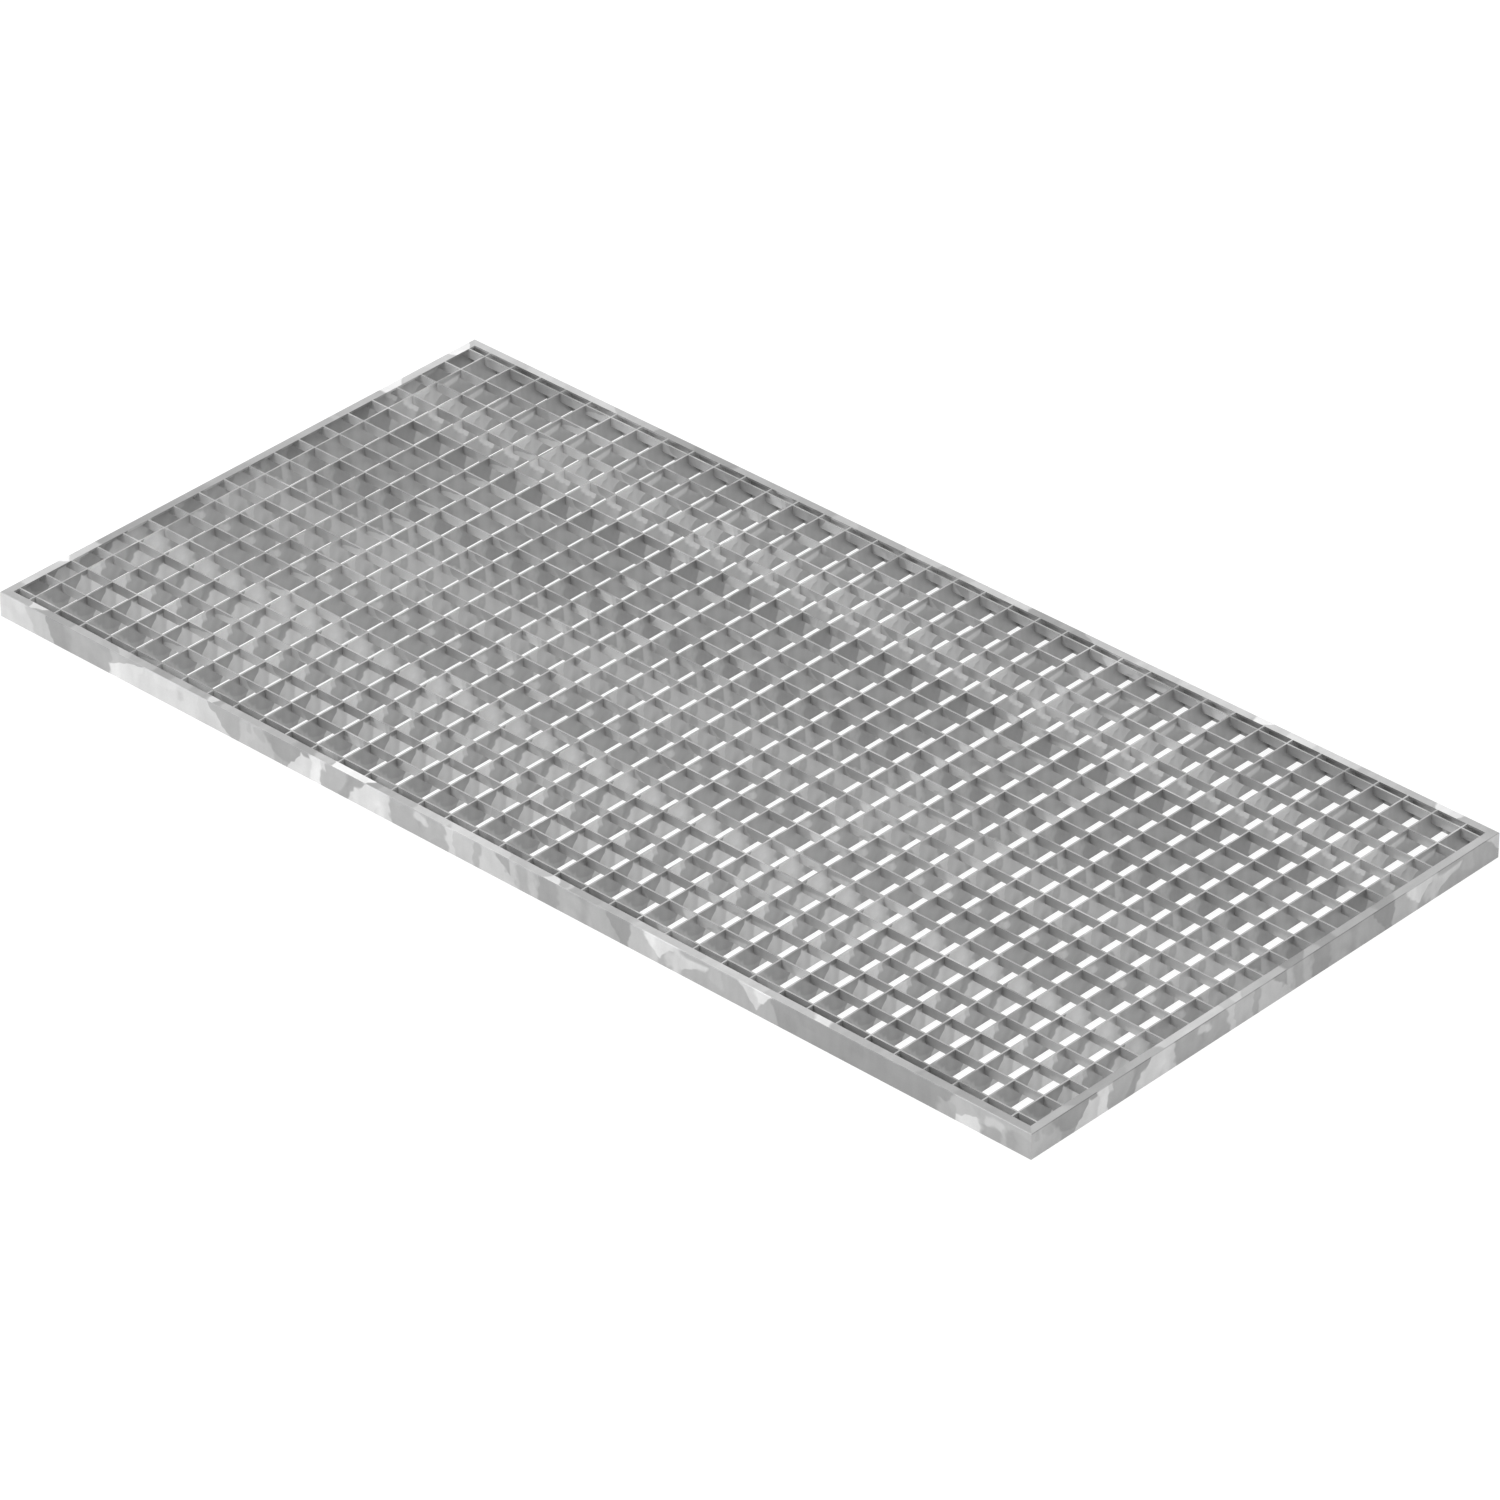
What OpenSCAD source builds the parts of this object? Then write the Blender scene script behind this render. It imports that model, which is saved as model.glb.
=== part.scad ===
// Pressed steel grating panel: flat bearing bars across the width, shallower cross bars
// along the length, and an angle rail round the edge. All tops are flush.
// Origin: centre of the underside. +X along the length, +Y along the width, +Z up.

/* [Panel] */
// Overall length, along X
panel_length = 1200; // [400:5:1500]
// Overall width, along Y, which the bearing bars span
panel_width = 594; // [250:2:1000]
// Overall height, the depth of the rails and of the bearing bars
panel_height = 25; // [20:1:40]

/* [Bearing bars] */
// Thickness of each flat bearing bar
bearing_thickness = 1.5; // [1:0.25:3]
// Spacing of the bearing bars, centre to centre
bearing_pitch = 31.75; // [25:0.25:45]

/* [Cross bars] */
// Thickness of each flat cross bar
cross_thickness = 1.5; // [1:0.25:3]
// Depth of the cross bars below the tread surface
cross_depth = 9.2; // [6:0.1:15]
// Spacing of the cross bars, centre to centre
cross_pitch = 31.2; // [25:0.2:45]

/* [Edge rails] */
// Thickness of the upright web of the angle rail
web_thickness = 2; // [1.5:0.25:3]
// Thickness of the inward top flange of the angle rail
flange_thickness = 2; // [1.5:0.25:3]
// Width of the top flange, measured from the outer face
flange_width = 8.5; // [6:0.5:15]
// Radius of the outer top edge of the rail
rail_edge_radius = 1; // [0.5:0.25:1.25]

/* [Fit] */
// Least free gap between a rail flange and the side of the nearest bar
least_edge_gap = 4; // [3:0.5:8]

/* [Hidden] */
section_count = 4;
zinc_grey = [0.68, 0.69, 0.69];
rail_grey = [0.74, 0.75, 0.75];
$fn = 48;

// Clear length and width between the webs of facing rails, which the bar ends meet.
clear_length = panel_length - 2 * web_thickness;
clear_width = panel_width - 2 * web_thickness;

// How far the flange reaches over the end of each bar.
flange_lap = flange_width - web_thickness;

// Number of equally spaced bars that fit between two facing flanges.
function bar_count(overall, pitch, thickness) =
    floor((overall - 2 * (flange_width + least_edge_gap) - thickness) / pitch) + 1;

bearing_count = bar_count(panel_length, bearing_pitch, bearing_thickness);
cross_count = bar_count(panel_width, cross_pitch, cross_thickness);

// Centre line of bar number `index` in a row that is centred on the panel.
function bar_centre(index, count, pitch) = (index - (count - 1) / 2) * pitch;

// Number of the first bearing bar in a mesh section, counting both from 0.
function first_bar(section) = round(section * bearing_count / section_count);

// X where a mesh section starts: a rail web, or midway between two bearing bars.
function section_start(section) =
    section <= 0 ? -clear_length / 2
    : section >= section_count ? clear_length / 2
    : bar_centre(first_bar(section) - 0.5, bearing_count, bearing_pitch);

// Side view of a bar from `start` to `end`. An end that meets a web is notched by the
// thickness and lap of the flange, so that the bar's top stays level with the rail's.
module bar_side(start, end, depth, notch_start, notch_end) {
    top = panel_height;
    bottom = panel_height - depth;
    shoulder = panel_height - flange_thickness;
    polygon(concat(
        [[start, bottom], [end, bottom]],
        notch_end ? [[end, shoulder], [end - flange_lap, shoulder], [end - flange_lap, top]]
                  : [[end, top]],
        notch_start ? [[start + flange_lap, top], [start + flange_lap, shoulder], [start, shoulder]]
                    : [[start, top]]
    ));
}

// Flat bar standing on edge along Y, full depth, notched under both long rails.
module bearing_bar(x) {
    translate([x - bearing_thickness / 2, 0, 0])
        rotate([90, 0, 90])
            linear_extrude(bearing_thickness)
                bar_side(-clear_width / 2, clear_width / 2, panel_height, true, true);
}

// Flat bar standing on edge along X, from one section boundary to the next.
module cross_bar(y, section) {
    translate([0, y + cross_thickness / 2, 0])
        rotate([90, 0, 0])
            linear_extrude(cross_thickness)
                bar_side(section_start(section), section_start(section + 1), cross_depth,
                         section == 0, section == section_count - 1);
}

// One section of the mesh: its bearing bars and cross bars, fused where they cross.
module mesh_section(section) {
    color(zinc_grey) union() {
        for (i = [first_bar(section) : first_bar(section + 1) - 1])
            bearing_bar(bar_centre(i, bearing_count, bearing_pitch));
        for (j = [0 : cross_count - 1])
            cross_bar(bar_centre(j, cross_count, cross_pitch), section);
    }
}

// Section of the angle rail, with the outer face on x = 0 and the flange towards +x.
module rail_profile() {
    square([web_thickness, panel_height - rail_edge_radius]);
    translate([rail_edge_radius, panel_height - flange_thickness])
        square([flange_width - rail_edge_radius, flange_thickness]);
    translate([rail_edge_radius, panel_height - rail_edge_radius])
        circle(rail_edge_radius);
}

// Straight rail along X, with its outer face on y = 0, mitred at both ends.
module mitred_rail(length) {
    intersection() {
        translate([-length / 2, 0, 0])
            rotate([90, 0, 90])
                linear_extrude(length) rail_profile();
        linear_extrude(panel_height)
            polygon([
                [-length / 2, 0], [length / 2, 0],
                [length / 2 - flange_width, flange_width],
                [-length / 2 + flange_width, flange_width]
            ]);
    }
}

// Rail on one side of the panel: 0 front, 1 right, 2 back, 3 left.
module edge_rail(side) {
    along_x = side % 2 == 0;
    length = along_x ? panel_length : panel_width;
    across = along_x ? panel_width : panel_length;
    color(rail_grey)
        rotate([0, 0, 90 * side])
            translate([0, -across / 2, 0])
                mitred_rail(length);
}

module front_long_rail() { edge_rail(0); }
module right_short_rail() { edge_rail(1); }
module back_long_rail() { edge_rail(2); }
module left_short_rail() { edge_rail(3); }
module mesh_section_1() { mesh_section(0); }
module mesh_section_2() { mesh_section(1); }
module mesh_section_3() { mesh_section(2); }
module mesh_section_4() { mesh_section(3); }

front_long_rail();
back_long_rail();
left_short_rail();
right_short_rail();
mesh_section_1();
mesh_section_2();
mesh_section_3();
mesh_section_4();
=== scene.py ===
import bpy
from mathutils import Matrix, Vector


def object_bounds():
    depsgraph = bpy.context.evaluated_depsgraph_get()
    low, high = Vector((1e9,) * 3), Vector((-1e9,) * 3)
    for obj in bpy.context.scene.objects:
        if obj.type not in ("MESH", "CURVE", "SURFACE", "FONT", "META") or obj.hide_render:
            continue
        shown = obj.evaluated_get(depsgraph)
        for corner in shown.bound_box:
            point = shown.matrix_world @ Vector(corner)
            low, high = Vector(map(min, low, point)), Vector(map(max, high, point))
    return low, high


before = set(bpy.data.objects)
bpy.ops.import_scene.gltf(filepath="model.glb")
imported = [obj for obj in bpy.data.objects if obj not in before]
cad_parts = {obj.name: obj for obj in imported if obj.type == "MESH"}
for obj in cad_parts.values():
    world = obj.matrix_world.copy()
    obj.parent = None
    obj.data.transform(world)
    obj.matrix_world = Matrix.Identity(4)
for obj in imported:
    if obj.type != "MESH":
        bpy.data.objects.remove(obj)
cad_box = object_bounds()

# Pitches and sections of the panel, in mm.
BEARING_PITCH = 31.75
CROSS_PITCH = 31.2
BAR_THICKNESS = 1.5
FLANGE_WIDTH = 8.5
WEB_THICKNESS = 2.0
MM_PER_METRE = 1000.0
HALF_LENGTH, HALF_WIDTH, RAIL_HEIGHT = [MM_PER_METRE * value for value in cad_box[1]]

# Greys from 0, black, to 1, white: of the zinc between the patches, and of the bars' tops.
SIDE_GREY = 0.40
FLANGE_GREY = 0.45
CROSS_TOP_GREY = 0.43
BEARING_TOP_GREY = 0.47

# How the zinc's grey changes from place to place, set to the photo's brightness. Those named
# PAINTED are painted shade and painted light: faces made darker or lighter as the light falls on
# them. FOOT and CONTRAST are factors, LIFT is added, RISE is per mm of height, and the rest are
# shares taken off or added; the rail edge's is multiplied by the slant, which is 0.25 at most.
SHORT_RAIL_PAINTED_SHADE = 0.065
RAIL_EDGE_PAINTED_SHADE = 1.3
WEB_INSIDE_PAINTED_SHADE = 0.2
BEARING_FOOT_PAINTED_SHADE = 0.87
BEARING_PAINTED_LIGHT_RISE_PER_MM = 0.011
CROSS_PAINTED_LIGHT_CONTRAST = 0.79
CROSS_PAINTED_LIGHT_LIFT = 0.128
CROSSING_PAINTED_SHADE = 0.04
FRONT_ZONE_DARKER = 0.07
FRONT_EDGE_PAINTED_LIGHT = 0.18

# Where those changes start and end, in mm: from a crossing, and along Y.
CROSSING_SHADE_FADE = (1.0, 7.0)
FRONT_ZONE = (-212.0, -222.0)
FRONT_EDGE = (-243.0, -258.0)

# The zinc's shine.
ROUGHNESS = 0.5
METALLIC = 0.8
# A noise runs from 0 to 1, but mostly near 0.5: this spreads it from -0.8 to 0.8 at a swing of 1.
NOISE_REACH = 0.8

# How strongly the clouds show, as shares of the grey.
RAIL_CLOUDS = 0.05
BAR_SIDE_CLOUDS = 0.04
BAR_TOP_CLOUDS = 0.26

# Widest range, in mm, over which noise pushes the patches' edges along the run and the height.
SWIRL_RUN = 14.0
SWIRL_HEIGHT = 10.0
# Keeps the noise on level faces apart from the noise on upright ones, in mm.
LEVEL_NOISE_SHIFT = 500.0
# Parts of a face's normal above which it counts as facing along X, or up or down.
LEAST_NORMAL_X = 0.3
LEAST_NORMAL_Z = 0.9
# How near a point has to be to count as on the web's inner side, or on a bearing bar, in mm.
WEB_REACH = 0.5
BAR_REACH = 0.05

# Height limits of a patch that reaches past the bottom or the top of its face.
ALL_THE_WAY_DOWN = -99.0
ALL_THE_WAY_UP = 99.0

# Numbers of the inputs of a mix node for floats, and of a map range node for vectors.
MIX_A, MIX_B = 2, 3
RANGE_VECTOR, RANGE_FROM_MIN, RANGE_FROM_MAX, RANGE_TO_MIN, RANGE_TO_MAX = range(6, 11)

# The camera, fitted to the photo: place, aim and clip end in metres, lens and sensor in mm.
CAMERA_PLACE = (4.39053, -4.71617, 4.17661)
CAMERA_AIM = (0.05317, -0.03735, 0.025)
CAMERA_LENS = 214.93
SENSOR_WIDTH = 36.0
CLIP_END = 100.0

# The floor, in metres, and how bright it is: to diffuse light, to the camera, and its glow.
FLOOR_HALF = 30.0
FLOOR_LEVEL = -0.0004
FLOOR_GREY = 0.8
FLOOR_SEEN_GREY = 0.14
FLOOR_GLOW = 0.925


def patch(left, right, grey, blur=1.2, low=ALL_THE_WAY_DOWN, high=ALL_THE_WAY_UP):
    """A light or dark patch of the zinc. Lengths are in mm, and runs count from the middle.

    Left, right and blur are one number, or a pair: for left and right the run at height 0 and
    at height 25, for blur the left side's and the right side's. On an upright face the run is X
    or Y and the height is Z. On a flange the height goes from 0 at the outer edge to 25 at the
    inner one.
    """
    pairs = [v if isinstance(v, tuple) else (v, v) for v in (left, right, blur)]
    return pairs + [grey, low, high]


# Upright faces. Later patches lie over earlier ones.
SIDE_PATCHES = [
    patch(-620, (-553, -567), 0.58, 4),
    patch((-553, -567), (-532, -543), 0.50),
    patch((-532, -543), (-495, -509), 0.33, (1, 8)),
    patch((-505, -518), -466, 0.385, 8),
    patch(-466, (-455, -425), 0.45, 2),
    patch((-508, -418), (-424, -420), 0.67, (1.5, 4)),
    patch(-512, -461, 0.39, (6, 1.5)),
    patch((-430, -420), (-350, -352), 0.61, (4, 1)),
    patch(-377, -371, 0.53, 2, low=10, high=18),
    patch((-351, -353), (-313, -341), 0.58, 1.5),
    patch((-313, -341), -302, 0.40, 1),
    patch(-301, -262, 0.47, 1.5),
    patch(-292, -286, 0.42, 1.5, low=14),
    patch(-281, -270, 0.42, 2, low=14),
    patch((-258, -271), (-241, -220), 0.34, (2, 1), low=5),
    patch((-245, -224), (-203, -202), 0.62, 1),
    patch(-226, -215, 0.35, 1.5, low=20.5),
    patch(-214, -204, 0.73, 2),
    patch((-203, -202), (-180, -172), 0.43, 1),
    patch(-203, -195, 0.61, 1.5, low=17),
    patch((-181, -168), (-173, -152), 0.34, 3),
    patch((-173, -152), (-118, -124), 0.60, 1.5),
    patch(-136, -126, 0.67, 4, high=12),
    patch((-87, -91), -78, 0.56, 2, low=14.5, high=22.5),
    patch(-88, -83, 0.37, 1.5, low=9, high=14),
    patch((-50, -58), (-43, -46), 0.56, 1.5),
    patch((-43, -46), -22, 0.49, 1),
    patch((-23, -18), -14, 0.40, 2, high=21),
    patch(-14, (28, 16), 0.54, 2),
    patch((28, 2), 20, 0.36, 1.5),
    patch((28, 18), 30, 0.47, 2),
    patch(20, 27, 0.51, 2, low=8),
    patch((44, 40), (53, 48), 0.49, 3),
    patch((53, 55), 76, 0.335, 1.5),
    patch(100, 112, 0.35, 4),
    patch((148, 131), (157, 161), 0.315, 1.5),
    patch((157, 161), 186, 0.47, 1),
    patch(183, 190, 0.50, 3, high=13),
    patch(190, 199, 0.41, 2, high=9),
    patch(198, 214, 0.53, 3, low=2, high=16),
    patch((194, 174), (184, 212), 0.65, 1.5),
    patch(205, 215, 0.57, 3),
    patch(178, 188, 0.71, 3, low=15),
    patch(214, (203, 256), 0.57, 2, high=17),
    patch(215, 245, 0.59, 2, low=15, high=21),
    patch(248, 262, 0.445, 3, low=8),
    patch((308, 279), (297, 318), 0.58, 1.5),
    patch((305, 299), (297, 318), 0.68, 1.5, low=12),
    patch((324, 319), (505, 519), 0.31, 1.5),
    patch((505, 519), 620, 0.43, 2),
    patch((503, 568), 545, 0.61, 1.5),
    patch(500, 519, 0.39, (4, 1), high=14),
    patch(547, 567, 0.36, 1.5, high=12),
    patch(550, 569, 0.52, 2, low=12, high=20),
    patch(572, 620, 0.39, 1.5, high=17),
    patch(574, 583, 0.345, 2, low=2, high=16),
]
# The top of each rail.
FLANGE_PATCHES = {
    "front_long_rail": [
        patch(-620, -566, 0.445), patch((-563, -567), (-560, -546), 0.70),
        patch((-556, -545), -512, 0.38, 2), patch(-512, (-470, -484), 0.48, 3),
        patch((-448, -460), (-436, -440), 0.54, 2), patch(-438, -413, 0.48, 2),
        patch(-411, -388, 0.37, 2), patch(-388, -367, 0.46, 2), patch(-366, -343, 0.40, 2),
        patch((-338, -344), (-333, -332), 0.65, 1.5), patch(-332, -326, 0.39, 1.5),
        patch(-326, -282, 0.475, 2), patch(-236, -216, 0.385, 3), patch(-215, -194, 0.52, 1.5),
        patch((-190, -194), (-150, -142), 0.85), patch((-149, -141), -135, 0.38, 2),
        patch(-93, -56, 0.56, 2), patch((-50, -58), (22, 14), 0.62, 3),
        patch((22, 14), 62, 0.51, 3), patch((60, 63), (78, 71), 0.73, 1.5),
        patch(81, 86, 0.55, 1.5), patch(86, 122, 0.41, 2), patch((160, 166), 235, 0.53, 3),
        patch(235, 310, 0.58, 4), patch(310, 362, 0.525, 3),
        patch((364, 362), (379, 377), 0.74, 2.5), patch(434, 475, 0.49, 3),
        patch(475, 515, 0.42, 3), patch(515, 620, 0.385, 3)],
    "back_long_rail": [
        patch(-620, -530, 0.585, 4), patch(-530, (-424, -414), 0.62, 3),
        patch((-424, -414), -368, 0.50, 2), patch(-368, -322, 0.375, 2),
        patch(-322, -303, 0.315, 4), patch(-303, -270, 0.34, 4), patch(-200, -150, 0.43, 3),
        patch(-150, (-126, -122), 0.51, 2), patch((-72, -64), -25, 0.56, 2),
        patch(0, 12, 0.54, 2), patch(12, (80, 83), 0.60, 2),
        patch((80, 83), (142, 154), 0.375, 2), patch(116, 128, 0.42, 3),
        patch((142, 154), 200, 0.505, 2), patch(200, 250, 0.58, 5), patch(250, 335, 0.63, 4),
        patch((332, 338), (357, 345), 0.90, 1.5), patch((357, 344), 372, 0.64, 3),
        patch(372, 405, 0.71, 4), patch(405, 452, 0.645, 4), patch(452, 492, 0.54, 3),
        patch(492, 531, 0.49, 3), patch((529, 537), 562, 0.78, 2), patch(563, 620, 0.475)],
    "left_short_rail": [
        patch(-300, -273, 0.46, 2), patch(-273, -182, 0.59, 2),
        patch((-228, -220), (-213, -221), 0.84, 1.5), patch(-182, -75, 0.38, 2),
        patch(-75, -45, 0.385, 4), patch(108, 115, 0.53, 2), patch(115, 173, 0.475, 2),
        patch(173, (204, 195), 0.84, 1.5), patch((204, 195), 262, 0.59, 2),
        patch(262, (289, 282), 0.86, 1.5), patch((289, 282), 300, 0.56)],
    "right_short_rail": [
        patch((-242, -250), -178, 0.375, 3), patch(-178, -137, 0.44, 3),
        patch((-132, -139), -58, 0.59, 2), patch(-58, -46, 0.52, 2),
        patch(-46, (-36, -28), 0.60, 2), patch((-36, -28), 19, 0.49, 2),
        patch(19, (40, 52), 0.32, 2), patch((40, 52), 63, 0.45, 2), patch(63, 85, 0.36, 2),
        patch(138, (158, 168), 0.375, 3), patch((158, 168), 205, 0.47, 3),
        patch(205, 300, 0.475, 3)],
}


class Nodes:
    """Short calls for building a node tree."""

    def __init__(self, tree):
        self.tree = tree
        tree.nodes.clear()

    def add(self, kind, inputs=None, **props):
        """A new node. Each input, by name or number, gets a value or another node's output."""
        node = self.tree.nodes.new(kind)
        for key, value in props.items():
            setattr(node, key, value)
        for key, value in (inputs or {}).items():
            if isinstance(value, bpy.types.NodeSocket):
                self.tree.links.new(value, node.inputs[key])
            else:
                node.inputs[key].default_value = value
        return node

    def math(self, operation, a, b=0.0, c=0.0):
        return self.add("ShaderNodeMath", {0: a, 1: b, 2: c}, operation=operation).outputs[0]

    def product(self, a, b):
        return self.math("MULTIPLY", a, b)

    def line(self, value, slope, start):
        """start + slope * value"""
        return self.math("MULTIPLY_ADD", value, slope, start)

    def total(self, *values):
        result = values[0]
        for value in values[1:]:
            result = self.math("ADD", result, value)
        return result

    def stretch(self, vector, factors):
        return self.add("ShaderNodeVectorMath", {0: vector, 1: factors},
                        operation="MULTIPLY").outputs[0]

    def split(self, vector):
        return self.add("ShaderNodeSeparateXYZ", {0: vector}).outputs

    def step(self, value, start, end):
        """Goes smoothly from 0 at start to 1 at end, whichever of the two is larger."""
        return self.add("ShaderNodeMapRange", {"Value": value, "From Min": start, "From Max": end},
                        interpolation_type="SMOOTHSTEP").outputs[0]

    def pick(self, factor, a, b):
        """a where the factor is 0, and b where it is 1."""
        return self.add("ShaderNodeMix", {"Factor": factor, MIX_A: a, MIX_B: b},
                        data_type="FLOAT").outputs[0]

    def point(self, x, y, z=0.0):
        return self.add("ShaderNodeCombineXYZ", {0: x, 1: y, 2: z}).outputs[0]

    def noise(self, vector, scale, detail=1.0, swing=1.0):
        """Noise centred on 0, about `swing` from its lowest to its highest."""
        node = self.add("ShaderNodeTexNoise",
                        {"Vector": vector, "Scale": scale, "Detail": detail})
        return self.line(node.outputs["Fac"], 2 * NOISE_REACH * swing, -NOISE_REACH * swing)

    def patches(self, grey, run, height, shapes):
        """Lays each patch in turn over `grey`."""
        place = self.point(run, run, height)
        heights = self.point(height, height, height)
        for left, right, blurs, value, low, high in shapes:
            leans = [(bottom - top) / RAIL_HEIGHT for bottom, top in (left, right)]
            spot = place
            if any(leans):
                spot = self.add("ShaderNodeVectorMath", {0: heights, 1: leans + [0.0], 2: place},
                                operation="MULTIPLY_ADD").outputs[0]
            # X and Y go from -3 outside the left and right edges to 0 inside, and Z from 0
            # below the patch to 3 above its lower edge. A number that is read from a vector
            # is the mean of the three, so it says how much of the patch shows, up to 1, and
            # the mix takes what is below 0 as 0.
            blur = min(blurs)
            edges = self.add("ShaderNodeMapRange",
                             {RANGE_VECTOR: spot,
                              RANGE_FROM_MIN: (left[0] - blurs[0], right[0] + blurs[1], low - blur),
                              RANGE_FROM_MAX: (left[0] + blurs[0], right[0] - blurs[1], low + blur),
                              RANGE_TO_MIN: (-3.0, -3.0, 0.0), RANGE_TO_MAX: (0.0, 0.0, 3.0)},
                             data_type="FLOAT_VECTOR", interpolation_type="SMOOTHSTEP")
            inside = edges.outputs["Vector"]
            if high < RAIL_HEIGHT:
                inside = self.product(inside, self.step(height, high + blur, high - blur))
            grey = self.pick(inside, grey, value)
        return grey


class Face:
    """Where a shaded point lies on the panel, in mm, and which way its face looks."""

    def __init__(self, n):
        metres = n.add("ShaderNodeTexCoord").outputs["Object"]
        self.x, self.y, self.z = n.split(n.stretch(metres, (MM_PER_METRE,) * 3))
        normal = n.split(n.add("ShaderNodeNewGeometry").outputs["True Normal"])
        self.normal_z = normal[2]
        self.faces_x = n.math("GREATER_THAN", n.math("ABSOLUTE", normal[0]), LEAST_NORMAL_X)
        self.faces_z = n.math("GREATER_THAN", n.math("ABSOLUTE", normal[2]), LEAST_NORMAL_Z)

        # The run and height of a patch: Y and Z, or X and Z, or on level faces X and Y.
        run = n.pick(self.faces_z, n.pick(self.faces_x, self.x, self.y), self.x)
        height = n.pick(self.faces_z, self.z, self.y)
        self.run = run
        self.spot = n.point(run, height, n.product(self.faces_z, LEVEL_NOISE_SHIFT))

        # The same, pushed about by noise, so that the patches' edges wander.
        swirl = n.add("ShaderNodeTexNoise", {"Vector": self.spot, "Scale": 0.075, "Detail": 1.0,
                                             "Roughness": 0.6}).outputs["Color"]
        swirl = n.split(swirl)
        self.run_warped = n.math("ADD", run, n.line(swirl[0], SWIRL_RUN, -SWIRL_RUN / 2))
        self.height_warped = n.math("ADD", height,
                                    n.line(swirl[1], SWIRL_HEIGHT, -SWIRL_HEIGHT / 2))


def side_pattern():
    """The patches on upright faces, by run and height in mm: the same on all that are parallel."""
    group = bpy.data.node_groups.new("side_pattern", "ShaderNodeTree")
    for label in ("Run", "Height"):
        group.interface.new_socket(label, in_out="INPUT", socket_type="NodeSocketFloat")
    group.interface.new_socket("Grey", in_out="OUTPUT", socket_type="NodeSocketFloat")
    n = Nodes(group)
    given = n.add("NodeGroupInput").outputs
    grey = n.patches(SIDE_GREY, given["Run"], given["Height"], SIDE_PATCHES)
    n.add("NodeGroupOutput", {"Grey": grey})
    return group


def rail_tone(n, face, side, flange, flange_runs):
    """Grey of a rail, from the grey of its upright faces and the patches of its flange."""
    # Painted shade: the short rails' sides are a little darker, and so is every rail's rounded
    # outer edge.
    side = n.product(side, n.line(face.faces_x, -SHORT_RAIL_PAINTED_SHADE, 1.0))
    # Painted shade on the rounded edge, strongest at 45 degrees, dims the light it catches.
    upward = n.product(face.normal_z, face.normal_z)
    slant = n.product(upward, n.math("SUBTRACT", 1.0, upward))
    side = n.product(side, n.line(slant, -RAIL_EDGE_PAINTED_SHADE, 1.0))
    along, across, edge = face.run_warped, face.y, HALF_WIDTH
    if flange_runs == "Y":
        along, across, edge = face.height_warped, face.x, HALF_LENGTH
    inward = n.math("SUBTRACT", edge, n.math("ABSOLUTE", across))
    # Painted shade: the inner side of the web, under the flange, is darker than the outer one.
    inner = n.math("COMPARE", inward, WEB_THICKNESS, WEB_REACH)
    side = n.product(side, n.line(inner, -WEB_INSIDE_PAINTED_SHADE, 1.0))
    inward = n.product(inward, RAIL_HEIGHT / FLANGE_WIDTH)
    level = n.patches(FLANGE_GREY, along, inward, flange)
    return n.pick(face.faces_z, side, level)


def bar_tone(n, face, side):
    """Grey of the bars, from the grey of their upright faces."""
    # Painted shade and light: the bearing bars get darker towards the foot and lighter towards
    #     # the top. The cross bars' sides get lighter, with fainter patches.
    bearing_side_painted_shade_and_light = n.product(side, n.line(face.z, BEARING_PAINTED_LIGHT_RISE_PER_MM, BEARING_FOOT_PAINTED_SHADE))
    # Painted light: the lift lightens the cross bars' sides and evens out their patches.
    cross_side_painted_light = n.line(side, CROSS_PAINTED_LIGHT_CONTRAST, CROSS_PAINTED_LIGHT_LIFT)
    side = n.pick(face.faces_x, cross_side_painted_light, bearing_side_painted_shade_and_light)
    # Painted shade: the bars are a little darker near where they cross, in the corners.
    half_pitch = n.pick(face.faces_x, BEARING_PITCH / 2, CROSS_PITCH / 2)
    from_crossing = n.math("PINGPONG", face.run, half_pitch)
    clear = n.step(from_crossing, *CROSSING_SHADE_FADE)
    side = n.product(side, n.line(clear, CROSSING_PAINTED_SHADE, 1.0 - CROSSING_PAINTED_SHADE))
    # Towards the front rail it turns a little darker; beside the rail, painted light lifts the
    # rail's shade.
    near = n.line(n.step(face.y, *FRONT_ZONE), -FRONT_ZONE_DARKER, 1.0)
    near = n.line(n.step(face.y, *FRONT_EDGE), FRONT_EDGE_PAINTED_LIGHT, near)
    side = n.product(side, near)
    # The bearing bars' tops are a little lighter than the cross bars'.
    across = n.math("PINGPONG", face.x, BEARING_PITCH / 2)
    bearing = n.math("LESS_THAN", across, BAR_THICKNESS / 2 + BAR_REACH)
    level = n.line(bearing, BEARING_TOP_GREY - CROSS_TOP_GREY, CROSS_TOP_GREY)
    return n.pick(face.faces_z, side, level)


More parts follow.
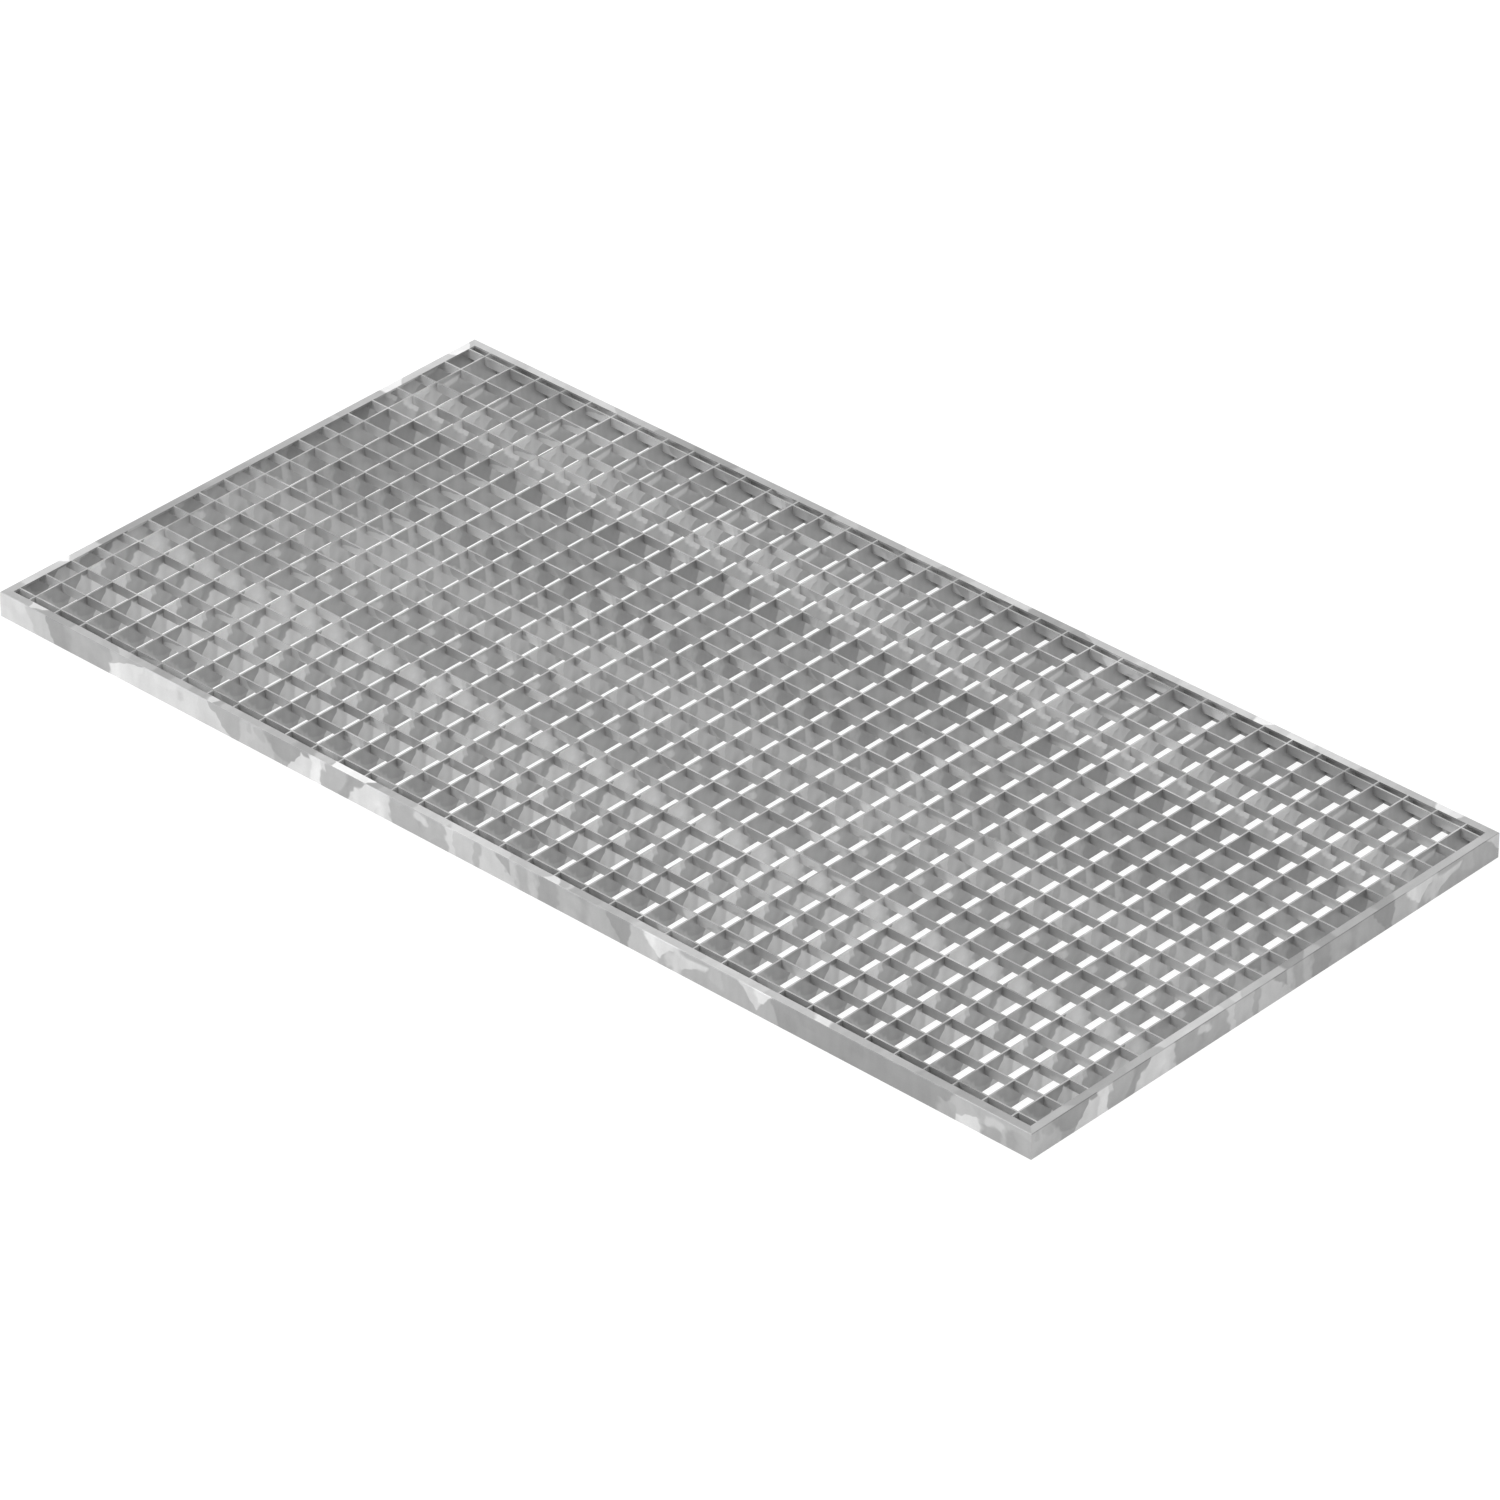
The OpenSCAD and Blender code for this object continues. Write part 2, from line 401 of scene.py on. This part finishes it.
def mottled_metal(n, face, tone, cloud_depth):
    """Clouds, streaks and grain on the tone, with varied roughness and a fine relief."""
    # From -1 in the darkest clouds to 1 in the lightest, and 0 between them.
    noise = n.noise(face.spot, scale=0.016, detail=2.0)
    clouds = n.math("SUBTRACT", n.step(noise, 0.10, 0.16), n.step(noise, -0.1, -0.2))
    streaks = n.noise(n.stretch(face.spot, (1.0, 0.2, 1.0)), scale=0.10, detail=2.0, swing=0.12)
    mottle = n.total(1.0, n.product(clouds, cloud_depth), streaks,
                     n.noise(face.spot, scale=0.045, swing=0.10),
                     n.noise(face.spot, scale=0.6, swing=0.06))
    grey = n.product(tone, mottle)
    colour = n.add("ShaderNodeCombineColor", {"Red": grey, "Green": grey, "Blue": grey})
    rough = n.math("ADD", ROUGHNESS, n.noise(face.spot, scale=0.07, swing=0.2))
    relief = n.noise(face.spot, scale=0.13, detail=2.0)
    bump = n.add("ShaderNodeBump", {"Height": relief, "Strength": 0.2, "Distance": 0.0003})
    shader = n.add("ShaderNodeBsdfPrincipled",
                   {"Base Color": colour.outputs[0], "Metallic": METALLIC, "Roughness": rough,
                    "Normal": bump.outputs[0]})
    n.add("ShaderNodeOutputMaterial", {"Surface": shader.outputs[0]})


def zinc(name, pattern, flange=None, flange_runs="X"):
    """Hot-dip galvanised steel in light and dark patches: a rail if it has a flange, or bars."""
    mat = bpy.data.materials.new(name)
    mat.use_nodes = True
    n = Nodes(mat.node_tree)
    face = Face(n)
    side = n.add("ShaderNodeGroup", node_tree=pattern)
    n.tree.links.new(face.run_warped, side.inputs["Run"])
    n.tree.links.new(face.height_warped, side.inputs["Height"])
    if flange:
        tone = rail_tone(n, face, side.outputs["Grey"], flange, flange_runs)
        cloud_depth = RAIL_CLOUDS
    else:
        tone = bar_tone(n, face, side.outputs["Grey"])
        cloud_depth = n.line(face.faces_z, BAR_TOP_CLOUDS - BAR_SIDE_CLOUDS, BAR_SIDE_CLOUDS)
    mottled_metal(n, face, tone, cloud_depth)
    return mat


def paint(node_name, mat):
    """Gives a piece of the panel one material."""
    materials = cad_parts[node_name].data.materials
    materials.clear()
    materials.append(mat)


def make_floor():
    """Pale floor just below the panel, white to the camera and in reflections."""
    mesh = bpy.data.meshes.new("floor")
    corners = [(-FLOOR_HALF, -FLOOR_HALF), (FLOOR_HALF, -FLOOR_HALF),
               (FLOOR_HALF, FLOOR_HALF), (-FLOOR_HALF, FLOOR_HALF)]
    mesh.from_pydata([(x, y, FLOOR_LEVEL) for x, y in corners], [], [(0, 1, 2, 3)])
    floor = bpy.data.objects.new("floor", mesh)
    bpy.context.scene.collection.objects.link(floor)
    mat = bpy.data.materials.new("floor")
    mat.use_nodes = True
    n = Nodes(mat.node_tree)
    path = n.add("ShaderNodeLightPath").outputs
    seen = n.math("MAXIMUM", path["Is Camera Ray"],
                  n.math("MAXIMUM", path["Is Glossy Ray"], path["Is Transmission Ray"]))
    plain = n.add("ShaderNodeBsdfDiffuse", {"Color": (FLOOR_GREY,) * 3 + (1.0,)})
    dim = n.add("ShaderNodeBsdfDiffuse", {"Color": (FLOOR_SEEN_GREY,) * 3 + (1.0,)})
    glow = n.add("ShaderNodeEmission", {"Color": (1.0, 1.0, 1.0, 1.0), "Strength": FLOOR_GLOW})
    bright = n.add("ShaderNodeAddShader", {0: dim.outputs[0], 1: glow.outputs[0]})
    mix = n.add("ShaderNodeMixShader", {0: seen, 1: plain.outputs[0], 2: bright.outputs[0]})
    n.add("ShaderNodeOutputMaterial", {"Surface": mix.outputs[0]})
    mesh.materials.append(mat)


def make_world():
    """Even white light from all round."""
    world = bpy.data.worlds.new("studio")
    bpy.context.scene.world = world
    world.use_nodes = True
    n = Nodes(world.node_tree)
    white = n.add("ShaderNodeBackground", {"Color": (1.0, 1.0, 1.0, 1.0), "Strength": 1.0})
    n.add("ShaderNodeOutputWorld", {"Surface": white.outputs[0]})


def softbox(name, place, power, size):
    """Square lamp that is aimed at the frame's origin: lengths in metres, power in watts."""
    lamp = bpy.data.lights.new(name, "AREA")
    lamp.energy = power
    lamp.size = size
    obj = bpy.data.objects.new(name, lamp)
    obj.location = place
    obj.rotation_euler = (-Vector(place)).to_track_quat("-Z", "Y").to_euler()
    bpy.context.scene.collection.objects.link(obj)


def make_camera():
    """Long-lens camera above the front right corner, as in the photo."""
    cam = bpy.data.cameras.new("camera")
    cam.sensor_width = SENSOR_WIDTH
    cam.lens = CAMERA_LENS
    cam.clip_end = CLIP_END
    obj = bpy.data.objects.new("camera", cam)
    obj.location = CAMERA_PLACE
    look = Vector(CAMERA_AIM) - Vector(CAMERA_PLACE)
    obj.rotation_euler = look.to_track_quat("-Z", "Y").to_euler()
    bpy.context.scene.collection.objects.link(obj)
    bpy.context.scene.camera = obj


make_camera()
make_floor()
make_world()
softbox("key", place=(-1.5, -4.0, 3.5), power=180.0, size=2.5)
pattern = side_pattern()
for rail, shapes in FLANGE_PATCHES.items():
    paint(rail, zinc(rail + "_zinc", pattern, shapes, "X" if "long" in rail else "Y"))
bars = zinc("bars_zinc", pattern)
for node_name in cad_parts:
    if node_name.startswith("mesh_section_"):
        paint(node_name, bars)
bpy.context.scene.view_settings.view_transform = "Standard"
